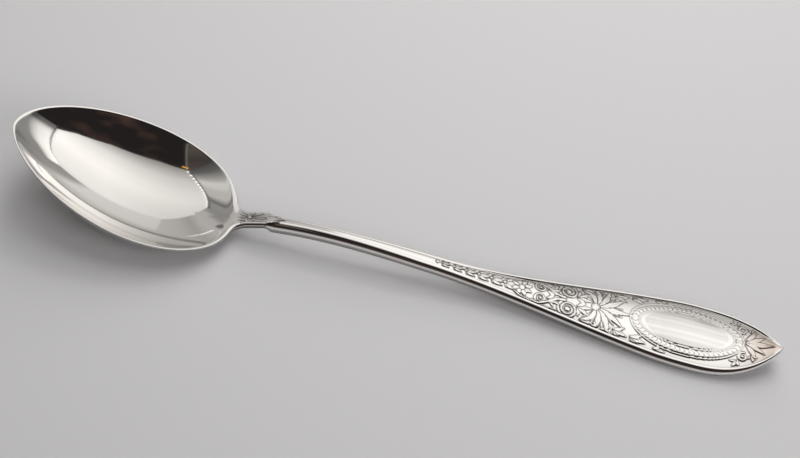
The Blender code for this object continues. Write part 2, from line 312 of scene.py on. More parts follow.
def tang_share(x):
    """0 in the bowl and 1 in the tang."""
    return smoothstep(HEEL_X - THICK_BEFORE_HEEL, HEEL_X + THICKENING - THICK_BEFORE_HEEL, x)


def rim_lid(x):
    share = (x - BOWL_TIP_X) / BOWL_LENGTH
    return TIP_RISE * (1 - share) - RIM_SAG * 4 * share * (1 - share)


def rim_height(x):
    """The rim's lid, and past the heel the rising top of the tang."""
    tang = TANG_RISE * (x - HEEL_X) / TANG_LENGTH
    return -soft_min(-rim_lid(x), -tang, HEEL_EASE)


def hollow_level(x, y):
    """0 in the middle of the hollow and 1 at its edge."""
    edge = bowl_edge(np.linspace(0, 1, EDGE_STEPS)) - (DISH_X, 0.0)
    reach = np.hypot(*edge.T) - LIP_WIDTH
    directions = np.arctan2(edge[:, 1], edge[:, 0])
    across, along = np.abs(y), x - DISH_X
    direction = np.arctan2(across, along)
    distance = np.hypot(along, across)
    egg = 1 / np.interp(direction, directions[::-1], reach[::-1]) ** 2
    half_length, half_width = BOWL_LENGTH / 2 - LIP_WIDTH, BOWL_WIDTH / 2 - LIP_WIDTH
    ellipse = (np.cos(direction) / half_length) ** 2 + (np.sin(direction) / half_width) ** 2
    nearness = np.clip(distance**2 * egg, 0, 1)
    return distance**2 * (ellipse * (1 - nearness) + egg * nearness)


def sheet_height(x, y):
    """Height of the upper face above the heel."""
    level = hollow_level(x, y)
    dish = rim_lid(x) - DISH_DEPTH * (1 - level) * (1 + WALL_FULLNESS * level)
    return soft_min(dish, rim_height(x), LIP_EASE + HEEL_SOFT * tang_share(x))


length_line = np.linspace(BOWL_TIP_X + LIP_WIDTH, HEEL_X - LIP_WIDTH, LENGTH_STEPS)
HEEL_Z = SHEET - sheet_height(length_line, np.zeros(LENGTH_STEPS)).min()
JOINT_Z = HEEL_Z + TANG_RISE
print("heel height, mm:", round(HEEL_Z / MM, 3))

# %% [markdown]
# ## Bowl and tang
# Rings run from the middle of the hollow out to the lip, round the lip's edge and back under the sheet.
# The lower face lies a sheet's thickness from the upper one, square to its slope, and thickens towards
# the tang. At the joint the tang is sawn off square. The tang's sides and underside carry painted shade.

# %% Bowl and tang
BOWL_RINGS = 60
LIP_STEPS = 11
RING_CROWDING = 1.4
LIP_END = -60  # degrees down the edge, where the underside takes over
UNDER_REACH = 0.93  # how far out the underside's rings go
TANG_LIP = 1.1 * TANG_ROUND
SLOPE_STEP = 0.02 * MM
BOWL_CREASE = math.radians(50)
UNDER_SHADE = 0.85  # painted shade on the sides and the underside of the tang


def upper_points(plan, drop=0.0):
    return np.column_stack([plan, HEEL_Z + sheet_height(*plan.T) - drop])


def lower_points(plan):
    x, y = plan.T
    step = SLOPE_STEP
    slope_x = (sheet_height(x + step, y) - sheet_height(x - step, y)) / (2 * step)
    slope_y = (sheet_height(x, y + step) - sheet_height(x, y - step)) / (2 * step)
    normal = np.column_stack([-slope_x, -slope_y, np.ones_like(x)])
    normal /= np.linalg.norm(normal, axis=1)[:, None]
    thickness = SHEET - CLEAR + (TANG_DEPTH - SHEET) * tang_share(x)
    return upper_points(plan) - normal * thickness[:, None]


def lip_rings():
    """The rounded edge, from the flat of the lip round to the top of the outer wall."""
    radius = LIP_ROUND + (TANG_ROUND - LIP_ROUND) * tang_share(outline[:, 0])
    rings = []
    for angle in np.radians(np.linspace(90, LIP_END, LIP_STEPS)):
        plan = inset_outline(outline, radius * (1 - math.cos(angle)))
        rings.append(upper_points(plan, CLEAR + radius * (1 - math.sin(angle))))
    return rings


def bowl_points():
    width = LIP_WIDTH + (TANG_LIP - LIP_WIDTH) * tang_share(outline[:, 0])
    edge = inset_outline(outline, width)
    middle = np.array((DISH_X, 0.0))
    shares = 1 - np.linspace(1, 0, BOWL_RINGS) ** RING_CROWDING
    plans = [middle + (edge - middle) * share for share in shares]
    below = [plan for plan, share in zip(plans, shares) if share < UNDER_REACH]
    rings = [upper_points(plan) for plan in plans]
    rings += lip_rings()
    rings += [lower_points(plan) for plan in below[::-1]]
    rings = np.array(rings)
    shade_and_tarnish = np.zeros(rings.shape[:2])
    # painted shade on the rings from the lip's edge down under the tang
    shade_and_tarnish[len(plans) + LIP_STEPS // 2 :] = UNDER_SHADE
    shade_and_tarnish *= tang_share(rings[:, :, 0])
    return [np.concatenate([values, values[:, :1]], axis=1) for values in (rings, shade_and_tarnish)]


def make_bowl():
    points, shade_and_tarnish = bowl_points()
    bowl = rolled_grid("bowl_sheet", points, {"tarnish_and_shade": shade_and_tarnish})
    edit_all()
    bpy.ops.mesh.bisect(
        plane_co=(TANG_END_X, 0, 0), plane_no=(1, 0, 0), use_fill=True, clear_outer=True
    )
    bpy.ops.object.mode_set(mode="OBJECT")
    bpy.ops.object.shade_smooth_by_angle(angle=BOWL_CREASE)
    return bowl


bowl = make_bowl()
print("bowl faces", len(bowl.data.polygons))

# %% [markdown]
# ## The handle's sizes
# The handle is measured from the joint to its point. Its wide end rests on the table.

# %% Sizes of the handle
STEM_LENGTH = 30.1 * MM
JOINT_WIDTH = 3.4 * MM
STEM_WAIST = 3.3 * MM
WAIST_FROM_JOINT = 4.5 * MM
STEM_END_WIDTH = 4.0 * MM
FLARE_LENGTH = 63.0 * MM
FLARE_WIDTH = 17.6 * MM
POINT_FULLNESS = 11.7
POINT_ROUND = 0.9 * MM
POINT_BLUNT = 0.2 * MM
STEM_DEPTH = 2.8 * MM
MIDDLE_DEPTH = 2.3 * MM
BLADE_DEPTH = 2.1 * MM
POINT_DEPTH = 1.2 * MM
SHOULDER_LENGTH = 1.3 * MM
CREST_FROM_JOINT = 5.0 * MM
CREST_CLEARANCE = 2.87 * MM
MIDDLE_CLEARANCE = 1.83 * MM
LAND_LENGTH = 8.0 * MM
LAND_FROM_POINT = 15.8 * MM
POINT_LIFT = 3.3 * MM
THREAD_WIDTH = 1.25 * MM
THREAD_SLOPE = 0.2 * MM
FIELD_SINK = 0.25 * MM
FIELD_CROWN = 0.14

HANDLE_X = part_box("handle")[0].x
POINT_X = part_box("handle")[1].x
FLARE_X = HANDLE_X + STEM_LENGTH
END_LENGTH = POINT_X - FLARE_X
LAND_END_X = POINT_X - LAND_FROM_POINT
LAND_START_X = LAND_END_X - LAND_LENGTH
CREST_X = HANDLE_X + CREST_FROM_JOINT
print("joint", round(HANDLE_X, 4), "flare", round(FLARE_X, 4), "point", round(POINT_X, 4))

# %% [markdown]
# ## The handle's lines
# Seen from above, the stem is waisted, flares in a half wave and closes in a full-sided point. Seen from
# the side, it arches from the joint, rests on a flat land and lifts at the point.

# %% Lines of the handle
POINT_FADE = 2.2 * POINT_ROUND
stem_half_width = spline(
    (
        (HANDLE_X, JOINT_WIDTH / 2),
        (HANDLE_X + WAIST_FROM_JOINT, STEM_WAIST / 2),
        (FLARE_X, STEM_END_WIDTH / 2),
    )
)
handle_depth = spline(
    (
        (HANDLE_X, STEM_DEPTH),
        (CREST_X, STEM_DEPTH),
        (FLARE_X, MIDDLE_DEPTH),
        (LAND_START_X, BLADE_DEPTH),
        (LAND_END_X, BLADE_DEPTH),
        (POINT_X, POINT_DEPTH),
    )
)
handle_arch = spline(
    (
        (HANDLE_X, JOINT_Z - STEM_DEPTH),
        (CREST_X, CREST_CLEARANCE),
        ((CREST_X + LAND_START_X) / 2, MIDDLE_CLEARANCE),
        (LAND_START_X, 0.0),
    )
)


def handle_half_width(x):
    along = np.clip(x - FLARE_X, 0, END_LENGTH)
    wave = np.sin(np.pi / 2 * np.clip(along / FLARE_LENGTH, 0, 1)) ** 2
    flare = (STEM_END_WIDTH + (FLARE_WIDTH - STEM_END_WIDTH) * wave) / 2
    pointed = flare * (1 - (along / END_LENGTH) ** POINT_FULLNESS)
    left = END_LENGTH - along
    rounding = 2 * POINT_ROUND * left * np.exp(-left / POINT_FADE)
    blade = np.maximum(np.sqrt(pointed**2 + rounding), POINT_BLUNT)
    return np.where(x < FLARE_X, stem_half_width(x), blade)


def handle_underside(x):
    lift = POINT_LIFT * (np.clip(x - LAND_END_X, 0, None) / LAND_FROM_POINT) ** 2
    return np.where(x > LAND_START_X, lift, handle_arch(x))


def handle_face(x):
    return handle_underside(x) + handle_depth(x)


widest = 2 * handle_half_width(np.linspace(FLARE_X, POINT_X, LENGTH_STEPS)).max()
print("widest", round(float(widest / MM), 2), "mm")

# %% [markdown]
# ## Relief
# A die presses its picture into the silver all at once, so the relief is one skin, not pieces laid on.
# Each leaf, scroll and bead is a stroke with a width and a rise along its path. The highest stroke wins
# at each point of the field, as the deepest cut in the die does. Tarnish stays along the foot of each.

# %% Strokes of the die
FOOT = 0.17  # width of the dark line beside a stroke, in mm
VEIN_DEPTH = 0.5
VEIN_WIDTH = 0.22
TINY = 1e-6


def dome(q):
    return np.sqrt(np.clip(1 - q * q, 0, 1))


def table_top(q):
    return np.sqrt(np.clip(1 - q**4, 0, 1))


def veined(q):
    return table_top(q) * (1 - VEIN_DEPTH * np.exp(-((q / VEIN_WIDTH) ** 2)))


def nearest(path, width, x, y):
    """Distance of each point from a path, and the path's width at the nearest place."""
    best = np.full(len(x), np.inf)
    best_width = np.ones(len(x))
    for i in range(len(path) - 1):
        along = path[i + 1] - path[i]
        off_x, off_y = x - path[i, 0], y - path[i, 1]
        share = (off_x * along[0] + off_y * along[1]) / max(along @ along, TINY**2)
        share = np.clip(share, 0, 1)
        distance = np.hypot(off_x - share * along[0], off_y - share * along[1])
        closer = distance < best
        best = np.where(closer, distance, best)
        best_width = np.where(closer, width[i] + share * (width[i + 1] - width[i]), best_width)
    return best, np.maximum(best_width, TINY)


class Die:
    """Heights in mm and dark foot lines: x runs along the piece and y from its axis, for both sides."""

    def __init__(self, x, y):
        self.x, self.y = x, y
        self.rise = np.zeros_like(x)
        self.foot = np.zeros_like(x)

    def window(self, low, high):
        return (self.x > low[0]) & (self.x < high[0]) & (self.y > low[1]) & (self.y < high[1])

    def stroke(self, path, width, rise, shape=table_top):
        """Raises a stroke over what lies there, with a dark line along its foot."""
        path = np.asarray(path, float)
        width = np.broadcast_to(width, len(path)).astype(float)
        reach = width.max() + 3 * FOOT
        near = self.window(path.min(0) - reach, path.max(0) + reach)
        distance, half = nearest(path, width, self.x[near], self.y[near])
        value = rise * shape(distance / half) * (distance < half)
        ground = self.rise[near]
        line = np.exp(-(((distance - half) / FOOT) ** 2)) * (distance > half) * (ground < rise)
        self.foot[near] = np.where(value > ground, 0, np.maximum(self.foot[near], line))
        self.rise[near] = np.maximum(ground, value)

    def bead(self, place, radius, rise):
        self.stroke([place, (place[0] + 1e-4, place[1])], radius, rise, dome)


print("each stroke has a dark line", FOOT, "mm wide")

# %% [markdown]
# ## Paths
# The strokes follow curves with four handles, spirals, and leaf shapes that swell and run out in a tip.

# %% Paths for strokes


def bezier(start, first, second, end, count=16):
    t = np.linspace(0, 1, count)[:, None]
    start, first, second, end = (np.array(p, float) for p in (start, first, second, end))
    return start * (1 - t) ** 3 + 3 * first * t * (1 - t) ** 2 + 3 * second * t**2 * (1 - t) + end * t**3


def taper(widest, tip=0.15, swell=0.45, count=16):
    """Widths of a leaf: narrow at its stalk, widest at swell, and a fine tip."""
    t = np.linspace(0, 1, count)
    body = np.where(t < swell, t / swell, (1 - t) / (1 - swell))
    return widest * (tip + (1 - tip) * np.sin(np.pi / 2 * np.clip(body, 0, 1)))


def spiral(centre, start, radius, turns, eye=0.22, closing=0.85, count=40):
    """A volute from radius down to its eye. Positive turns wind anticlockwise."""
    t = np.linspace(0, 1, count)
    angle = math.radians(start) + 2 * np.pi * turns * t
    r = radius * (1 - t) ** closing + eye * t
    return np.stack([centre[0] + r * np.cos(angle), centre[1] + r * np.sin(angle)], -1)


def ahead(place, heading, distance):
    return place[0] + distance * math.cos(heading), place[1] + distance * math.sin(heading)


print("a leaf 1 mm wide narrows to", round(taper(1.0)[-1], 2), "mm")

# %% [markdown]
# ## Motifs
# Husks, leaf sprays, volutes, rosettes and rows of beads: each is a few strokes.

# %% Motifs


def leaf(die, root, heading, length, curl=0.0, width=0.2, rise=0.22, shape=veined):
    """One lobe: it sets out along its heading, in degrees, and bends by its curl."""
    start = math.radians(heading)
    middle = ahead(root, start, 0.55 * length)
    end = ahead(middle, start + math.radians(curl), 0.5 * length)
    die.stroke(bezier(root, middle, middle, end), taper(width * length), rise, shape)


def spray(die, root, heading, length, lobes, spread):
    """Lobes that fan from one root, longest in the middle."""
    for i in range(lobes):
        share = i / (lobes - 1) - 0.5
        leaf(die, root, heading + spread * share, length * (1 - 0.9 * share**2), 50 * share, 0.17)


def husk(die, base, size):
    """Three petals that point to the handle's end."""
    leaf(die, (base, 0.1), 108, 1.3 * size, 45, 0.2, 0.16, table_top)
    leaf(die, (base, 0.06), 143, 2.2 * size, 25, 0.17, 0.19, table_top)
    leaf(die, (base, 0.0), 180, 2.6 * size, 0, 0.17, 0.22)
    die.bead((base + 0.12 * size, 0), 0.3 * size, 0.22)


def volute(die, centre, start, radius, turns, width=0.3):
    path = spiral(centre, start, radius, turns)
    die.stroke(path, np.linspace(width, 0.55 * width, len(path)), 0.22)
    die.bead(centre, 0.24 * radius, 0.24)
    return path[0]


def rosette(die, centre, radius, petals):
    for i in range(petals):
        heading = 360 * (i + 0.5) / petals
        leaf(die, ahead(centre, math.radians(heading), 0.25 * radius), heading, 0.75 * radius, 0, 0.36)
    die.bead(centre, 0.3 * radius, 0.26)


def bead_row(die, path, pitch, radius):
    steps = np.concatenate([[0], np.cumsum(np.hypot(*np.diff(path, axis=0).T))])
    for place in np.arange(0, steps[-1], pitch):
        die.bead((np.interp(place, steps, path[:, 0]), np.interp(place, steps, path[:, 1])), radius, 0.18)


print("motifs: leaf, spray, husk, volute, rosette and row of beads")

# %% [markdown]
# ## The ornament
# A chain of husks climbs the narrow end of the flare to a rosette. Paired scrolls with leaves grow from
# it, and a palmette opens under the oval. A leaf fills the point. These are old, common motifs. The two
# sides mirror each other, so the die is cut for one side. Places are in mm: x from the point, y from the
# axis.

# %% Ornament of the handle
HUSKS = 6
HUSK_START = 67.0
HUSK_PITCH = 2.3
HUSK_GROWTH = 0.1
PALMETTE_ROOT = (36.6, 0.0)
PALMETTE_LEAVES = 5
PALMETTE_TURN = 24
BEAD_PITCH = 0.42
BEAD_RADIUS = 0.17


def cut_husks(die):
    die.bead((HUSK_START + 1.0, 0), 0.3, 0.2)
    for i in range(HUSKS):
        husk(die, HUSK_START - HUSK_PITCH * i - 0.04 * i * i, 0.6 + HUSK_GROWTH * i)
    rosette(die, (51.2, 0), 1.9, 8)


def cut_scrolls(die):
    first = volute(die, (47.5, 1.35), 80, 1.15, -1.6, 0.2)
    second = volute(die, (42.0, 2.2), -70, 2.0, 2.4, 0.24)
    third = volute(die, (36.6, 3.7), 60, 1.3, -1.7, 0.2)
    die.stroke(bezier((52.6, 1.3), (51.4, 2.1), (49.6, 2.9), first), np.linspace(0.16, 0.22, 16), 0.22)
    die.stroke(bezier((49.0, 2.2), (47.0, 3.4), (44.6, 0.0), second), np.linspace(0.2, 0.28, 16), 0.24)
    die.stroke(bezier((41.6, 4.2), (39.9, 5.0), (38.0, 5.2), third), np.linspace(0.2, 0.24, 16), 0.22)
    spray(die, (46.2, 0.9), 176, 2.6, 4, 70)
    spray(die, (45.6, 2.9), 120, 1.8, 3, 80)
    spray(die, (40.2, 0.9), 160, 2.8, 4, 100)
    spray(die, (39.4, 3.6), 150, 2.4, 4, 110)
    spray(die, (35.2, 4.5), 140, 2.4, 4, 100)
    bead_row(die, bezier((50.4, 2.1), (47.6, 2.7), (45.2, 3.1), (42.8, 3.7)), BEAD_PITCH, BEAD_RADIUS)
    bead_row(die, bezier((41.4, 4.0), (39.2, 4.4), (37.6, 4.9), (35.4, 5.1)), BEAD_PITCH, BEAD_RADIUS)


def cut_palmette(die):
    for i in range(PALMETTE_LEAVES):
        leaf(die, PALMETTE_ROOT, 169 - PALMETTE_TURN * i, 5.0 - 0.3 * i, -12 * i, 0.07, 0.18, dome)
    for i in range(PALMETTE_LEAVES):
        leaf(die, PALMETTE_ROOT, 180 - PALMETTE_TURN * i, 6.7 - 0.4 * i, -16 * i, 0.1, 0.23)
    die.bead(PALMETTE_ROOT, 0.8, 0.26)
    spray(die, (32.8, 3.9), 140, 2.8, 4, 90)
    spray(die, (29.4, 4.6), 150, 3.0, 4, 70)
    spray(die, (24.8, 5.8), 170, 2.2, 3, 40)


def cut_point(die):
    leaf(die, (7.0, 0.0), 180, 5.0, 0, 0.14, 0.28)
    leaf(die, (7.0, 0.2), 158, 3.8, -10, 0.13, 0.25)
    leaf(die, (7.1, 0.5), 135, 3.4, -20, 0.14, 0.25)
    volute(die, (7.5, 3.3), -100, 0.95, 1.4, 0.25)
    spray(die, (8.4, 4.2), 60, 2.0, 3, 70)
    spray(die, (5.9, 2.6), 110, 1.5, 3, 80)


print("a chain of", HUSKS, "husks and a palmette of", PALMETTE_LEAVES, "leaves a side")

# %% [markdown]
# ## The oval's frame
# A band of chevrons between two fine lines frames the bare oval, which swells a little. The distance
# from an ellipse and the length along it lay this pattern out, and fine wear marks dull the oval.

# %% Frame of the oval
FRAME_FROM_POINT = 18.6
FRAME_HALF_LENGTH = 10.3
FRAME_HALF_WIDTH = 5.0
FRAME_STEPS = 400
BAND_HALF_WIDTH = 0.62
BAND_RISE = 0.26
LINE_HALF_WIDTH = 0.15
LINE_PLACE = BAND_HALF_WIDTH + 1.6 * LINE_HALF_WIDTH
LINE_RISE = 0.24
FRAME_EDGE = LINE_PLACE + LINE_HALF_WIDTH
CHEVRON_PITCH = 0.95
CHEVRON_SLANT = 0.8
CHEVRON_CUT = 0.1
CHEVRON_SOIL = 0.6
GAP_SOIL = 0.35
RIM_SOIL = 0.38
OVAL_RISE = 0.14
OVAL_DOME = 0.6
OVAL_REACH = 0.8
OVAL_DULL = 0.13
OVAL_STREAK = 0.05
STREAK_PITCH = 1.3


def bell(distance, width):
    return np.exp(-((distance / width) ** 2))


def frame_offset(die):
    """Distance out from the oval and along it, both in mm, and its level: 0 in the middle and 1 on it."""
    along, across = die.x - FRAME_FROM_POINT, die.y
    k = np.hypot(along / FRAME_HALF_LENGTH, across / FRAME_HALF_WIDTH)
    steep = np.hypot(along / FRAME_HALF_LENGTH**2, across / FRAME_HALF_WIDTH**2)
    off = (k - 1) * k / np.maximum(steep, TINY)
    angles = np.linspace(0, math.pi, FRAME_STEPS)
    ellipse = np.stack([FRAME_HALF_LENGTH * np.cos(angles), FRAME_HALF_WIDTH * np.sin(angles)], -1)
    lengths = np.concatenate([[0], np.cumsum(np.hypot(*np.diff(ellipse, axis=0).T))])
    turn = np.arctan2(across / FRAME_HALF_WIDTH, along / FRAME_HALF_LENGTH)
    return off, np.interp(turn, angles, lengths), k


def cut_frame(die):
    off, arc, level = frame_offset(die)
    aside = np.abs(off)
    chevron = np.abs(np.sin(math.pi * (arc + CHEVRON_SLANT * aside) / CHEVRON_PITCH))
    mark = smoothstep(0.45, 0.15, chevron)
    band = table_top(off / BAND_HALF_WIDTH) * (BAND_RISE - CHEVRON_CUT * mark)
    lines = LINE_RISE * dome((aside - LINE_PLACE) / LINE_HALF_WIDTH)
    oval = OVAL_RISE * smoothstep(-FRAME_EDGE, -FRAME_EDGE - 0.25, off)
    oval += OVAL_DOME * np.clip(1 - (level / OVAL_REACH) ** 2, 0, 1)
    inside = off < FRAME_EDGE
    die.rise = np.where(inside, np.maximum.reduce([band, lines, oval]), die.rise)
    gaps = GAP_SOIL * bell(aside - BAND_HALF_WIDTH - 0.05, 0.08)
    rims = RIM_SOIL * bell(aside - FRAME_EDGE - 0.03, 0.1)
    marks = np.maximum(CHEVRON_SOIL * mark * (aside < BAND_HALF_WIDTH), gaps)
    worn = OVAL_DULL + OVAL_STREAK * np.sin(2 * math.pi * die.y / STREAK_PITCH)
    worn *= smoothstep(OVAL_REACH + 0.02, OVAL_REACH - 0.02, level)
    die.foot = np.maximum.reduce([np.where(inside, marks, die.foot), rims, worn])


def cut_handle_die(x, y):
    die = Die(x, y)
    cut_husks(die)
    cut_scrolls(die)
    cut_palmette(die)
    cut_point(die)
    cut_frame(die)
    return die


print("oval frame", 2 * FRAME_HALF_LENGTH, "x", 2 * FRAME_HALF_WIDTH, "mm")

# %% [markdown]
# ## The handle's section
# The handle is a grid rolled into a closed bar. Rows run along it, close together where the ornament is,
# and columns run round it: the underside, a half-round side, the groove and the field. Painted shade lies
# on the sides, where they mirror the shadowed floor, and tarnish in the groove.

# %% Section of the handle
JOINT_ROWS = 22
STEM_ROWS = 60
FIELD_ROWS = 460
TIP_ROWS = 26
UNDER_COLUMNS = 4
SIDE_COLUMNS = 16
GROOVE_COLUMNS = 6
FIELD_COLUMNS = 48
JOINT_ZONE = 3.0 * MM
TIP_ZONE = 2 * POINT_ROUND
SIDE_REACH = 0.84  # the most of the half width that a round side takes
LEAST_FIELD = 0.24  # the least of it that is left for the field
OFF_FIELD = 9.0
# painted shade on the middle of each round side, where it mirrors the shadowed floor
SIDE_SHADE = 0.65
GROOVE_SOIL = 0.45
FADE_LENGTH = 26.0 * MM  # less painted shade on the sides and less tarnish in the groove towards the point
FADE_LEAST = 0.35


def handle_rows():
    joint = np.linspace(HANDLE_X, HANDLE_X + JOINT_ZONE, JOINT_ROWS, endpoint=False)
    stem = np.linspace(HANDLE_X + JOINT_ZONE, FLARE_X, STEM_ROWS, endpoint=False)
    field = np.linspace(FLARE_X, POINT_X - TIP_ZONE, FIELD_ROWS, endpoint=False)
    tip = POINT_X - TIP_ZONE * np.linspace(1, 0, TIP_ROWS) ** 2
    return np.concatenate([joint, stem, field, tip])


def half_section(half, depth, left):
    """Columns from the middle of the underside to the middle of the field: y, z, share and darkening.

    The share is the place across the field, or OFF_FIELD. The darkening is painted shade on the sides,
    where they mirror the shadowed floor, and tarnish in the grooves.
    """
    upright = depth / 2
    across = np.minimum(upright, SIDE_REACH * half)
    field = np.maximum(half - THREAD_WIDTH, LEAST_FIELD * half)
    broad = smoothstep(0.4, 2.4, field / THREAD_WIDTH)
    sink = FIELD_SINK * broad * smoothstep(0, 2 * THREAD_WIDTH, left)
    crest = np.minimum(field + THREAD_SLOPE, (field + half) / 2)
    first = np.arccos(np.clip((crest - half + across) / across, 0, 1))
    fade_share = FADE_LEAST + (1 - FADE_LEAST) * smoothstep(0, FADE_LENGTH, left)
    groove_soil = GROOVE_SOIL * broad * fade_share
    under = np.linspace(0, 1, UNDER_COLUMNS)
    columns = [((half - across) * share, -depth, OFF_FIELD, 0.0) for share in under]
    for share in np.linspace(0, 1, SIDE_COLUMNS)[1:]:
        angle = -np.pi / 2 + (first + np.pi / 2) * share
        y, z = half - across * (1 - np.cos(angle)), upright * (np.sin(angle) - 1)
        # painted shade on the side
        shade_and_tarnish = SIDE_SHADE * smoothstep(-1.5, -0.8, angle) * smoothstep(0.45, 0.1, angle) * fade_share
        columns.append((y, z, OFF_FIELD, shade_and_tarnish))
    top_y, top_z = columns[-1][:2]
    for share in np.linspace(0, 1, GROOVE_COLUMNS)[1:]:
        y, z = top_y + (field - top_y) * share, top_z * (1 - share)
        fall = sink * (0.5 - 0.5 * np.cos(np.pi * share))
        columns.append((y, z - fall, OFF_FIELD, groove_soil * share))
    for share in np.linspace(1, 0, FIELD_COLUMNS)[1:]:
        shade_and_tarnish = groove_soil * smoothstep(0.95, 1.0, share)
        columns.append((field * share, FIELD_CROWN * field * (1 - share**2) - sink, share, shade_and_tarnish))
    return [np.stack([np.broadcast_to(column[i], half.shape) for column in columns]) for i in range(4)]


def both_sides(values, sign=1):
    return np.concatenate([values, sign * values[-2::-1]])


print("handle rows", len(handle_rows()))

# %% [markdown]
# ## Handle
# The die raises the field. One attribute keeps the dark lines in its recesses for the finish, with painted
# shade on the sides and the field's far half, and another the brownish tarnish at the point. The stem is
# darker near the joint.

# %% Handle
RELIEF = 0.5  # how much of the die's depth the blow leaves
FIELD_EDGE = 0.05
# painted shade on the field's far half, and deeper lines there
FAR_SHADE = 0.36
FAR_LINE_SHADE = 0.4
STEM_DARKENING = 0.4
DARKENING_START = HANDLE_X + 10.0 * MM
DARKENING_END = HANDLE_X + 15.0 * MM
WARM_LENGTH = 10.0 * MM
WARM_FULL = 2.0 * MM
NECK_FADE = (-0.6 * MM, -0.3 * MM)  # the neck's leaf ends on the shoulder of the side
HANDLE_CREASE = math.radians(60)


def cut_neck_die(x, y):
    """The tip of the neck's leaf, which runs on from the tang: x is measured from the joint."""
    die = Die(x, y)
    leaf(die, (-0.9, 0.75), 14, 2.0, -20, 0.18, 0.13, table_top)
    leaf(die, (0.2, 0.3), 32, 1.4, -25, 0.2, 0.14, table_top)
    leaf(die, (-0.4, 0.25), 16, 2.4, -20, 0.16, 0.14, table_top)
    leaf(die, (-1.0, 0.0), 0, 3.8, 0, 0.12, 0.17)
    return die


def handle_points():
    x = handle_rows()
    shoulder = smoothstep(HANDLE_X, HANDLE_X + SHOULDER_LENGTH, x)
    depth = TANG_DEPTH + (handle_depth(x) - TANG_DEPTH) * shoulder
    y, z, share, shade_and_tarnish = half_section(handle_half_width(x), depth, POINT_X - x)
    y, z, share, shade_and_tarnish = both_sides(y, -1), both_sides(z), both_sides(share), both_sides(shade_and_tarnish)
    x = np.broadcast_to(x, y.shape)
    field = cut_handle_die((POINT_X - x) / MM, np.abs(y) / MM)
    neck = cut_neck_die((x - HANDLE_X) / MM, np.abs(y) / MM)
    inside = np.clip((1 - share) / FIELD_EDGE, 0, 1)
    far = share * np.sign(y)
    # a darker stem near the joint, and painted shade on the field's far half
    darkening = STEM_DARKENING * smoothstep(DARKENING_END, DARKENING_START, x)
    darkening = np.maximum(darkening, FAR_SHADE * smoothstep(0, 0.8, far)) * (share <= 1)
    upper = smoothstep(*NECK_FADE, z)
    # tarnish at the strokes' feet, darker on the far half as painted shade
    lines = field.foot * inside * (1 + FAR_LINE_SHADE * smoothstep(0, 0.5, far))
    tarnish_and_shade = np.maximum.reduce([lines, neck.foot * upper, shade_and_tarnish, darkening])
    warm = smoothstep(POINT_X - WARM_LENGTH, POINT_X - WARM_FULL, x) * (share <= 1)
    relief = RELIEF * (field.rise * inside + neck.rise * upper)
    points = np.stack([x, y, z + handle_face(x) + relief * MM], -1)
    return points, {"tarnish_and_shade": tarnish_and_shade, "warm": warm}


def make_handle():
    points, attributes = handle_points()
    handle = rolled_grid("handle_bar", points, attributes)
    close_ends()
    bpy.ops.object.shade_smooth_by_angle(angle=HANDLE_CREASE)
    return handle


handle = make_handle()
print("handle faces", len(handle.data.polygons))

# %% [markdown]
# ## Neck
# A small leaf is chased on the tang, where the bowl meets the handle. It is a patch that follows the
# tang's top, with its edges a little below the surface.

# %% Leaf on the tang
NECK_START = 0.1 * MM
NECK_HALF = 1.05 * MM
NECK_SUNK = 0.06 * MM
NECK_THICK = 0.5 * MM
NECK_ROWS = 90
NECK_COLUMNS = 46


def cut_tang_die(x, y):
    """x is measured from the heel, in mm."""
    die = Die(x, y)
    leaf(die, (1.9, 0.3), 118, 1.3, -30, 0.2, 0.14, table_top)
    leaf(die, (1.9, 0.2), 150, 1.7, 25, 0.16, 0.15, table_top)
    leaf(die, (2.0, 0.0), 180, 1.8, 0, 0.14, 0.16)
    leaf(die, (2.5, 0.3), 62, 1.4, -30, 0.2, 0.15, table_top)
    leaf(die, (3.6, 0.3), 50, 1.3, -25, 0.2, 0.15, table_top)
    leaf(die, (2.5, 0.1), 30, 2.4, -20, 0.13, 0.17, table_top)
    leaf(die, (2.5, 0.0), 0, 3.8, 0, 0.12, 0.2)
    die.bead((2.25, 0), 0.36, 0.22)
    return die


def make_neck():
    x = np.linspace(HEEL_X + NECK_START, TANG_END_X, NECK_ROWS)
    y = np.linspace(-NECK_HALF, NECK_HALF, NECK_COLUMNS)
    y, x = np.meshgrid(y, x, indexing="ij")
    die = cut_tang_die((x - HEEL_X) / MM, np.abs(y) / MM)
    z = HEEL_Z + sheet_height(x.ravel(), y.ravel()).reshape(x.shape) - NECK_SUNK + die.rise * MM
    neck = rolled_grid("tang_leaf", np.stack([x, y, z], -1), {"tarnish_and_shade": die.foot})
    edit_all()
    bpy.ops.mesh.extrude_region_move(TRANSFORM_OT_translate={"value": (0, 0, -NECK_THICK)})
    stop_editing()
    bpy.ops.object.shade_smooth_by_angle(angle=HANDLE_CREASE)
    return neck


neck = make_neck()
print("neck faces", len(neck.data.polygons))

# %% [markdown]
# ## Solder
# The joint is filed flush, and shows only as a fine line of greyer metal.

# %% Solder seam
SOLDER_STEPS = 24


def make_solder():
    radius = TANG_DEPTH / 2
    angles = np.radians(np.linspace(90, -90, SOLDER_STEPS))
    y = TANG_WIDTH / 2 - radius + radius * np.cos(angles)
    z = JOINT_Z + radius * (np.sin(angles) - 1)
    ring = np.column_stack([np.concatenate([y, -y[::-1], y[:1]]), np.concatenate([z, z[::-1], z[:1]])])
    ends = [np.column_stack([np.full(len(ring), x), ring]) for x in (TANG_END_X, HANDLE_X)]
    seam = rolled_grid("solder_film", np.stack(ends, axis=1))
    close_ends()
    return seam


solder = make_solder()
print("solder faces", len(solder.data.polygons))

# %% [markdown]
# ## Nodes
# A finish is a tree of nodes. These helpers add one node each: they take plain values or the outputs of
# other nodes, and give their own output back.

# %% Helpers for nodes


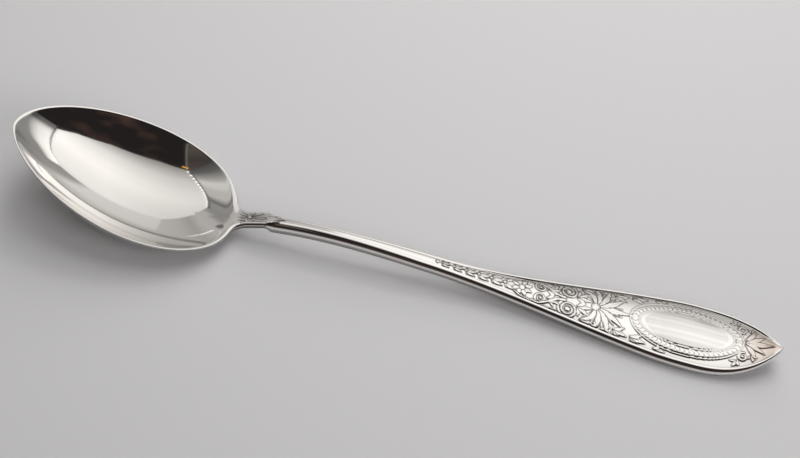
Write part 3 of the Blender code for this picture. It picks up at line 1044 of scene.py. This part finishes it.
def feed(tree, source, socket):
    """Links a node's output to a socket, or sets the socket to a plain value."""
    if isinstance(source, bpy.types.NodeSocket):
        tree.links.new(source, socket)
    else:
        socket.default_value = source


def multiply(tree, first, second, added=0.0):
    product = tree.nodes.new("ShaderNodeMath")
    product.operation = "MULTIPLY_ADD"
    for socket, source in zip(product.inputs, (first, second, added)):
        feed(tree, source, socket)
    return product.outputs["Value"]


def mix(tree, kind, first, second, share, way="MIX"):
    """A FLOAT or RGBA mix: first where share is 0, second where it is 1."""
    blend = tree.nodes.new("ShaderNodeMix")
    blend.data_type = kind
    blend.blend_type = way
    for name, source in (("A", first), ("B", second), ("Factor", share)):
        feed(tree, source, blend.inputs[name])
    return blend.outputs["Result"]


def map_range(tree, value, start, end, low=0.0, high=1.0):
    span = tree.nodes.new("ShaderNodeMapRange")
    limits = {"From Min": start, "From Max": end, "To Min": low, "To Max": high}
    for name, source in ({"Value": value} | limits).items():
        feed(tree, source, span.inputs[name])
    return span.outputs["Result"]


def colour_ramp(tree, share, stops):
    """Colours along a share, from (share, colour) stops."""
    ramp = tree.nodes.new("ShaderNodeValToRGB")
    elements = ramp.color_ramp.elements
    while len(elements) < len(stops):
        elements.new(0.5)
    for element, (where, colour) in zip(elements, stops):
        element.position = where
        element.color = colour
    feed(tree, share, ramp.inputs["Fac"])
    return ramp.outputs["Color"]


def noise(tree, place, scale, detail):
    cloud = tree.nodes.new("ShaderNodeTexNoise")
    for name, source in (("Vector", place), ("Scale", scale), ("Detail", detail)):
        feed(tree, source, cloud.inputs[name])
    return cloud.outputs["Fac"]


def attribute(tree, name):
    reader = tree.nodes.new("ShaderNodeAttribute")
    reader.attribute_name = name
    return reader.outputs["Fac"]


def coordinates(tree, kind):
    return tree.nodes.new("ShaderNodeTexCoord").outputs[kind]


def split(tree, place):
    parts = tree.nodes.new("ShaderNodeSeparateXYZ")
    feed(tree, place, parts.inputs[0])
    return parts.outputs


def new_material(name):
    material = bpy.data.materials.new(name)
    material.use_nodes = True
    return material, material.node_tree, material.node_tree.nodes["Principled BSDF"]


print("node helpers ready")

# %% [markdown]
# ## Silver
# Polished silver is nearly a mirror: what shows is the room, bent by the surface. Fine rubbing marks
# change its roughness a little. In the struck field, old polish and tarnish stay in the low places. Painted
# shade darkens the handle's sides, its field's far half and the tang's underside, and makes the bowl's
# silver a darker copy of the handle's.

# %% Silver finishes
# painted shade: the bowl's silver is a darker copy of the handle's, which dims the light box it mirrors
BOWL_SILVER_SHADED = (0.86, 0.85, 0.83, 1)
HANDLE_SILVER = (0.97, 0.96, 0.945, 1)
SOLDER_GREY = (0.45, 0.44, 0.43, 1)
DARK_TARNISH_AND_SHADE = (0.15, 0.138, 0.13, 1)
WARM_TINT = (0.80, 0.71, 0.65, 1)
FULL_DARKENING = 0.9
TARNISH_ROUGHNESS = 0.25
SOLDER_ROUGHNESS = 0.3
RUB_SCALE = 140
RUB_DETAIL = 6


def silver(name, bright, smooth, rough):
    """A mirror with rubbing marks, darkened where an attribute says so, by tarnish in the hollows and by
    painted shade.
    """
    material, tree, shader = new_material(name)
    shader.inputs["Metallic"].default_value = 1
    tarnish_and_shade = attribute(tree, "tarnish_and_shade")
    shade = colour_ramp(tree, tarnish_and_shade, ((0.0, bright), (FULL_DARKENING, DARK_TARNISH_AND_SHADE)))
    tint = mix(tree, "RGBA", shade, WARM_TINT, attribute(tree, "warm"), "MULTIPLY")
    feed(tree, tint, shader.inputs["Base Color"])
    rub = noise(tree, coordinates(tree, "Object"), RUB_SCALE, RUB_DETAIL)
    marks = map_range(tree, rub, 0.0, 1.0, smooth, rough)
    feed(tree, multiply(tree, tarnish_and_shade, TARNISH_ROUGHNESS, marks), shader.inputs["Roughness"])
    return material


def solder_silver():
    material, tree, shader = new_material("solder_silver")
    shader.inputs["Base Color"].default_value = SOLDER_GREY
    shader.inputs["Metallic"].default_value = 1
    shader.inputs["Roughness"].default_value = SOLDER_ROUGHNESS
    return material


def finish_piece(piece, material, node):
    piece.data.materials.clear()
    piece.data.materials.append(material)
    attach(piece, "root")
    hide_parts(node)


bowl_finish = silver("polished_silver", BOWL_SILVER_SHADED, smooth=0.03, rough=0.09)
handle_finish = silver("struck_silver", HANDLE_SILVER, smooth=0.06, rough=0.12)
finish_piece(bowl, bowl_finish, "bowl")
finish_piece(neck, bowl_finish, "bowl")
finish_piece(handle, handle_finish, "handle")
finish_piece(solder, solder_silver(), "solder_seam")
print("four skins finished")

# %% [markdown]
# ## Floor
# The spoon lies on a plain pale sheet. Four broad lamps stand round it, so its shadow is soft and falls
# towards the near side. Their places are measured in heights of the light box from the bowl's middle.

# %% Floor and lamps
FLOOR_COLOUR = (0.615, 0.603, 0.605, 1)
FLOOR_SIZE = 4
FLOOR_ROUGHNESS = 0.9
BOWL_MIDDLE = Vector((HEEL_X - BOWL_LENGTH / 2, 0, 0))
BOX_HEIGHT = 0.34
LAMP_SIZE = 0.3
LAMPS = {  # place and watts
    "ceiling_lamp": ((0.2, 0.4, 1.0), 0.65),
    "front_lamp": ((0.9, -0.85, 0.9), 0.79),
    "back_lamp": ((0.27, 1.0, 0.72), 0.78),
    "left_lamp": ((-0.26, -0.37, 1.25), 0.22),
}


def box_corner(place, height=1.0):
    return BOWL_MIDDLE + Vector((place[0], place[1], height)) * BOX_HEIGHT


def make_floor():
    deselect()
    bpy.ops.mesh.primitive_plane_add(size=FLOOR_SIZE)
    floor = bpy.context.object
    floor.name = "floor"
    material, tree, shader = new_material("pale_floor")
    shader.inputs["Base Color"].default_value = FLOOR_COLOUR
    shader.inputs["Roughness"].default_value = FLOOR_ROUGHNESS
    floor.data.materials.append(material)


def make_lamp(name, place, power):
    data = bpy.data.lights.new(name, "AREA")
    data.size = LAMP_SIZE
    data.energy = power
    lamp = bpy.data.objects.new(name, data)
    bpy.context.scene.collection.objects.link(lamp)
    lamp.location = box_corner(place[:2], place[2])
    lamp.rotation_euler = lamp.location.to_track_quat("Z", "Y").to_euler()
    lamp.visible_glossy = False


make_floor()
for name, (place, power) in LAMPS.items():
    make_lamp(name, place, power)
print("floor and", len(LAMPS), "lamps")

# %% [markdown]
# ## Glowing cards
# Silver shows what stands round it. Here that is a white light box, open towards the camera. Its cards
# are seen only by the mirror rays of the silver. Their brightness changes along them, as in a real box
# that is lit from above. The bowl's near wall mirrors the far wall, and the far wall the box, so this
# second look at the box has a brightness of its own.

# %% Glowing cards
X, Y, Z = 0, 1, 2
WARM_WHITE = (1, 0.97, 0.935)
BOX_LEVEL = 1.09
FRONT_LOOK = 0.62  # brightness of the box's front half in a second look
BACK_LOOK = ((-0.1, 0.66), (0.14, 0.84), (0.5, 1.15), (1.1, 1.3))
LIP_FRONT = 0.64
LIP_BACK = 0.76
FAR_LIP = ((0.58, 1.0), (LIP_FRONT, 0.4), (0.7, 0.4), (LIP_BACK, 1.0))


def level_ramp(tree, place, axis, stops):
    """Brightness along an axis of the box, from (place, level) stops."""
    first, last = stops[0][0], stops[-1][0]
    start, end = (BOWL_MIDDLE[axis] + where * BOX_HEIGHT for where in (first, last))
    shares = [((where - first) / (last - first), (level, level, level, 1)) for where, level in stops]
    return colour_ramp(tree, map_range(tree, place[axis], start, end), shares)


def second_look(tree, place):
    """1 in a first reflection. In a second one the bowl's far lip cuts the box in two."""
    back = level_ramp(tree, place, Y, ((LIP_FRONT, 0.0), (LIP_BACK, 1.0)))
    look = mix(tree, "FLOAT", FRONT_LOOK, level_ramp(tree, place, X, BACK_LOOK), back)
    look = multiply(tree, look, level_ramp(tree, place, Y, FAR_LIP))
    depth = tree.nodes.new("ShaderNodeLightPath").outputs["Ray Depth"]
    return mix(tree, "FLOAT", 1.0, look, map_range(tree, depth, 1, 2))


def glow(name, colour, strength, ramps={}):
    """Light with a brightness along each axis, and another in a second look."""
    material, tree, shader = new_material(name)
    tree.nodes.remove(shader)
    emission = tree.nodes.new("ShaderNodeEmission")
    emission.inputs["Color"].default_value = (*colour, 1)
    feed(tree, emission.outputs[0], tree.nodes["Material Output"].inputs["Surface"])
    place = split(tree, coordinates(tree, "Object"))
    level = multiply(tree, second_look(tree, place), strength * BOX_LEVEL)
    for axis, stops in ramps.items():
        level = multiply(tree, level, level_ramp(tree, place, axis, stops))
    feed(tree, level, emission.inputs["Strength"])
    return material


def make_card(name, corners, material):
    deselect()
    bpy.ops.mesh.primitive_circle_add(vertices=len(corners), fill_type="NGON")
    card = bpy.context.object
    card.name = name
    set_points(card.data, corners)
    card.data.materials.append(material)
    card.visible_camera = False
    card.visible_diffuse = False
    card.visible_shadow = False


def make_flat(name, places, material, height=1.0):
    """A level card at a height of the box."""
    make_card(name, [box_corner(place, height) for place in places], material)


def make_wall(name, start, end, material, low=0.0, high=1.0):
    bottom = [box_corner(start, low), box_corner(end, low)]
    top = [box_corner(end, high), box_corner(start, high)]
    make_card(name, bottom + top, material)


print("box height", BOX_HEIGHT, "m")

# %% [markdown]
# ## Light box
# The ceiling is brightest at its right, and its open front edge fades. The back wall is pale, the right
# wall darkens towards its front and its foot, and the left wall is dim and bows outwards.

# %% Ceiling and walls
FRONT_LEFT = (-0.075, -0.062)
FRONT_EDGE = ((0.17, -0.098), (0.6, -0.058), (1.0, 0.115))
FRONT_RIGHT = (1.28, 0.34)
RIGHT_START = (1.32, 0.28)
BACK_RIGHT = (1.38, 2.05)
BACK_MIDDLE = (-0.02, 1.6)
BACK_LEFT = (-0.43, 0.70)
GROUND_START = 0.06
GROUND_LIFT = 0.004
LEFT_BULGE = 0.06
LEFT_PANELS = 8


def between(start, end, share):
    return tuple(a + (b - a) * share for a, b in zip(start, end))


def along_left(share):
    """A place on the left edge of the ceiling, which bows outwards."""
    x, y = between(FRONT_LEFT, BACK_LEFT, share)
    return x - LEFT_BULGE * 4 * share * (1 - share), y


def make_left_walls(name, material, low=0.0, high=1.0):
    for i in range(LEFT_PANELS):
        make_wall(name, along_left(i / LEFT_PANELS), along_left((i + 1) / LEFT_PANELS), material, low, high)


def make_ceiling():
    across = ((-0.43, 0.66), (0.0, 0.74), (0.3, 0.84), (0.55, 0.94), (1.2, 1.0))
    inwards = (
        (-0.12, 0.25), (0.01, 0.54), (0.13, 0.78), (0.35, 0.95), (0.55, 1.0),
        (0.95, 0.89), (1.2, 0.86), (1.5, 0.84), (1.9, 0.74),
    )
    light = glow("ceiling_light", WARM_WHITE, 1.1, {X: across, Y: inwards})
    left = [along_left(i / LEFT_PANELS) for i in range(LEFT_PANELS, 0, -1)]
    ring = (FRONT_LEFT, *FRONT_EDGE, FRONT_RIGHT, BACK_RIGHT, BACK_MIDDLE, *left)
    make_flat("ceiling", ring, light)


def make_back():
    across = ((-0.02, 0.88), (0.3, 0.95), (0.8, 1.0), (1.0, 0.5), (1.38, 0.4))
    upwards = ((0.0, 0.45), (0.22, 0.52), (0.31, 0.58), (0.45, 0.66), (1.0, 0.68))
    light = glow("back_light", WARM_WHITE, 1.0, {X: across, Z: upwards})
    make_wall("back", BACK_MIDDLE, BACK_RIGHT, light)
    across = ((-0.42, 0.26), (-0.39, 0.42), (-0.33, 0.44), (-0.26, 0.34), (-0.17, 0.42), (-0.02, 0.46))
    make_wall("back_left", BACK_LEFT, BACK_MIDDLE, glow("corner_light", WARM_WHITE, 1.0, {X: across}))
    light = glow("back_ground", WARM_WHITE, 1.0, {Y: ((GROUND_START, 0.46), (1.6, 0.44))})
    front = ((BACK_LEFT[X], GROUND_START), (BACK_RIGHT[X], GROUND_START))
    make_flat("ground", (*front, BACK_RIGHT, BACK_MIDDLE, BACK_LEFT), light, GROUND_LIFT)


def make_sides():
    upwards = (
        (0.0, 0.13), (0.3, 0.15), (0.5, 0.24), (0.72, 0.27), (0.77, 0.58), (0.84, 0.9), (1.0, 1.15),
    )
    inwards = ((0.28, 0.12), (0.4, 0.18), (0.5, 0.7), (0.62, 0.9), (1.1, 1.0), (1.85, 1.05))
    light = glow("right_light", WARM_WHITE, 1.0, {Z: upwards, Y: inwards})
    make_wall("right", RIGHT_START, BACK_RIGHT, light)
    inwards = (
        (-0.075, 0.05), (-0.02, 0.12), (0.045, 0.38), (0.08, 0.6), (0.13, 0.58),
        (0.18, 0.48), (0.3, 0.47), (0.42, 0.14), (0.5, 0.28), (0.7, 0.24),
    )
    make_left_walls("left", glow("left_light", WARM_WHITE, 1.0, {Y: inwards}))


make_ceiling()
make_back()
make_sides()
print("light box with", LEFT_PANELS, "panels in its left wall")

# %% [markdown]
# ## Flap and small lamps
# A brown flap hangs forward from the box's left edge. A row of small lamps runs under that edge and a
# second one low in the back corner, each on a dark rail, and one lamp is orange. They show as the dots
# and the fine lines in the bowl.

# %% Flap and small lamps
FLAP_HEIGHT = 1.01
FLAP_LINE = ((-0.075, -0.07), (0.0, -0.42), (0.04, -0.7))
FLAP_EDGE = 0.014
FLAP_BROWN = (1, 0.82, 0.74)
EDGE_CREAM = (1, 0.95, 0.9)
LAMP_WHITE = (1, 0.98, 0.95)
LAMP_ORANGE = (1, 0.5, 0.08)
RAIL_LOW = 0.91
LAMP_COUNT = 16
LAMP_HALF = 0.008
LAMP_HEIGHT = 0.985
LAMP_INSET = 0.015
LOW_LAMP_COUNT = 9
LOW_LAMP_HALF = 0.013
LOW_START = (-0.33, 0.87, 0.38)
LOW_END = (-0.19, 1.18, 0.25)
SHADE_SHARE = 0.15
SHADE_HEIGHTS = (0.3, 0.48)
SQUARE = ((-1, -1), (1, -1), (1, 1), (-1, 1))


def make_flap():
    corners = (*FLAP_LINE, (-0.4, -0.9), (-0.5, -0.02), (-0.1, -0.03))
    inwards = ((-0.5, 0.07), (-0.38, 0.08), (-0.24, 0.05), (-0.1, 0.07), (0.0, 0.12))
    make_flat("flap", corners, glow("flap", FLAP_BROWN, 1.0, {Y: inwards}), FLAP_HEIGHT)
    strip = (*FLAP_LINE, *((x + FLAP_EDGE, y) for x, y in FLAP_LINE[::-1]))
    make_flat("flap_edge", strip, glow("flap_edge", EDGE_CREAM, 0.16), FLAP_HEIGHT)


def make_rails():
    rail = glow("dark_rail", (1, 1, 1), 0.05)
    make_left_walls("rail", rail, RAIL_LOW, 1.0)
    shade_end = between(BACK_LEFT, BACK_MIDDLE, SHADE_SHARE)
    make_wall("low_shade", BACK_LEFT, shade_end, rail, *SHADE_HEIGHTS)


def make_small_lamps():
    light = glow("small_lamp", LAMP_WHITE, 1.8)
    lamps = [(*along_left((i + 0.5) / LAMP_COUNT), LAMP_HEIGHT, LAMP_HALF) for i in range(LAMP_COUNT)]
    for i in range(LOW_LAMP_COUNT):
        lamps.append((*between(LOW_START, LOW_END, i / LOW_LAMP_COUNT), LOW_LAMP_HALF))
    for x, y, height, half in lamps:
        corners = [(x + LAMP_INSET + half * a, y + half * b) for a, b in SQUARE]
        make_flat("small_lamp", corners, light, height)
    corners = ((-0.075, -0.1), (-0.02, -0.115), (-0.02, -0.1), (-0.075, -0.085))
    make_flat("warm_lamp", corners, glow("warm_lamp", LAMP_ORANGE, 1.0))


make_flap()
make_rails()
make_small_lamps()
print(LAMP_COUNT + LOW_LAMP_COUNT, "small white lamps")

# %% [markdown]
# ## Room
# Past the open front the room is dark and brownish, and paler low down. Only the camera and the matt floor
# see a plain world.

# %% Room
PALE_WORLD = (0.6, 0.6, 0.6, 1)
DIM_WORLD = (0.045, 0.045, 0.045, 1)
DARK_ROOM = (0.018, 0.015, 0.015, 1)
WARM_ROOM = (0.07, 0.04, 0.034, 1)
LOW_ROOM = (0.42, 0.40, 0.385, 1)
LOW_FADE = (0.18, 0.4)  # heights of a direction between which the low room ends
BLOTCH_SCALE = 3.0
BLOTCH_DETAIL = 2
BLOTCH_START = 0.5
BLOTCH_FULL = 0.68


def make_room():
    world = bpy.data.worlds.new("room")
    bpy.context.scene.world = world
    world.use_nodes = True
    tree = world.node_tree
    tree.nodes.clear()
    output = tree.nodes.new("ShaderNodeOutputWorld")
    background = tree.nodes.new("ShaderNodeBackground")
    feed(tree, background.outputs[0], output.inputs[0])
    direction = coordinates(tree, "Generated")
    blotches = noise(tree, direction, BLOTCH_SCALE, BLOTCH_DETAIL)
    shade = colour_ramp(tree, blotches, ((BLOTCH_START, DARK_ROOM), (BLOTCH_FULL, WARM_ROOM)))
    rise = map_range(tree, split(tree, direction)["Z"], *LOW_FADE)
    path = tree.nodes.new("ShaderNodeLightPath")
    room = mix(tree, "RGBA", LOW_ROOM, shade, rise)
    mirrored = mix(tree, "RGBA", DIM_WORLD, room, path.outputs["Is Glossy Ray"])
    seen = mix(tree, "RGBA", mirrored, PALE_WORLD, path.outputs["Is Camera Ray"])
    feed(tree, seen, background.inputs["Color"])


make_room()
print("stage set")

# %% [markdown]
# ## Finish
# The scene is brought up to date. The dressed spoon has to stay inside the imported model's
# box.

# %% Update the scene
bpy.context.view_layer.update()
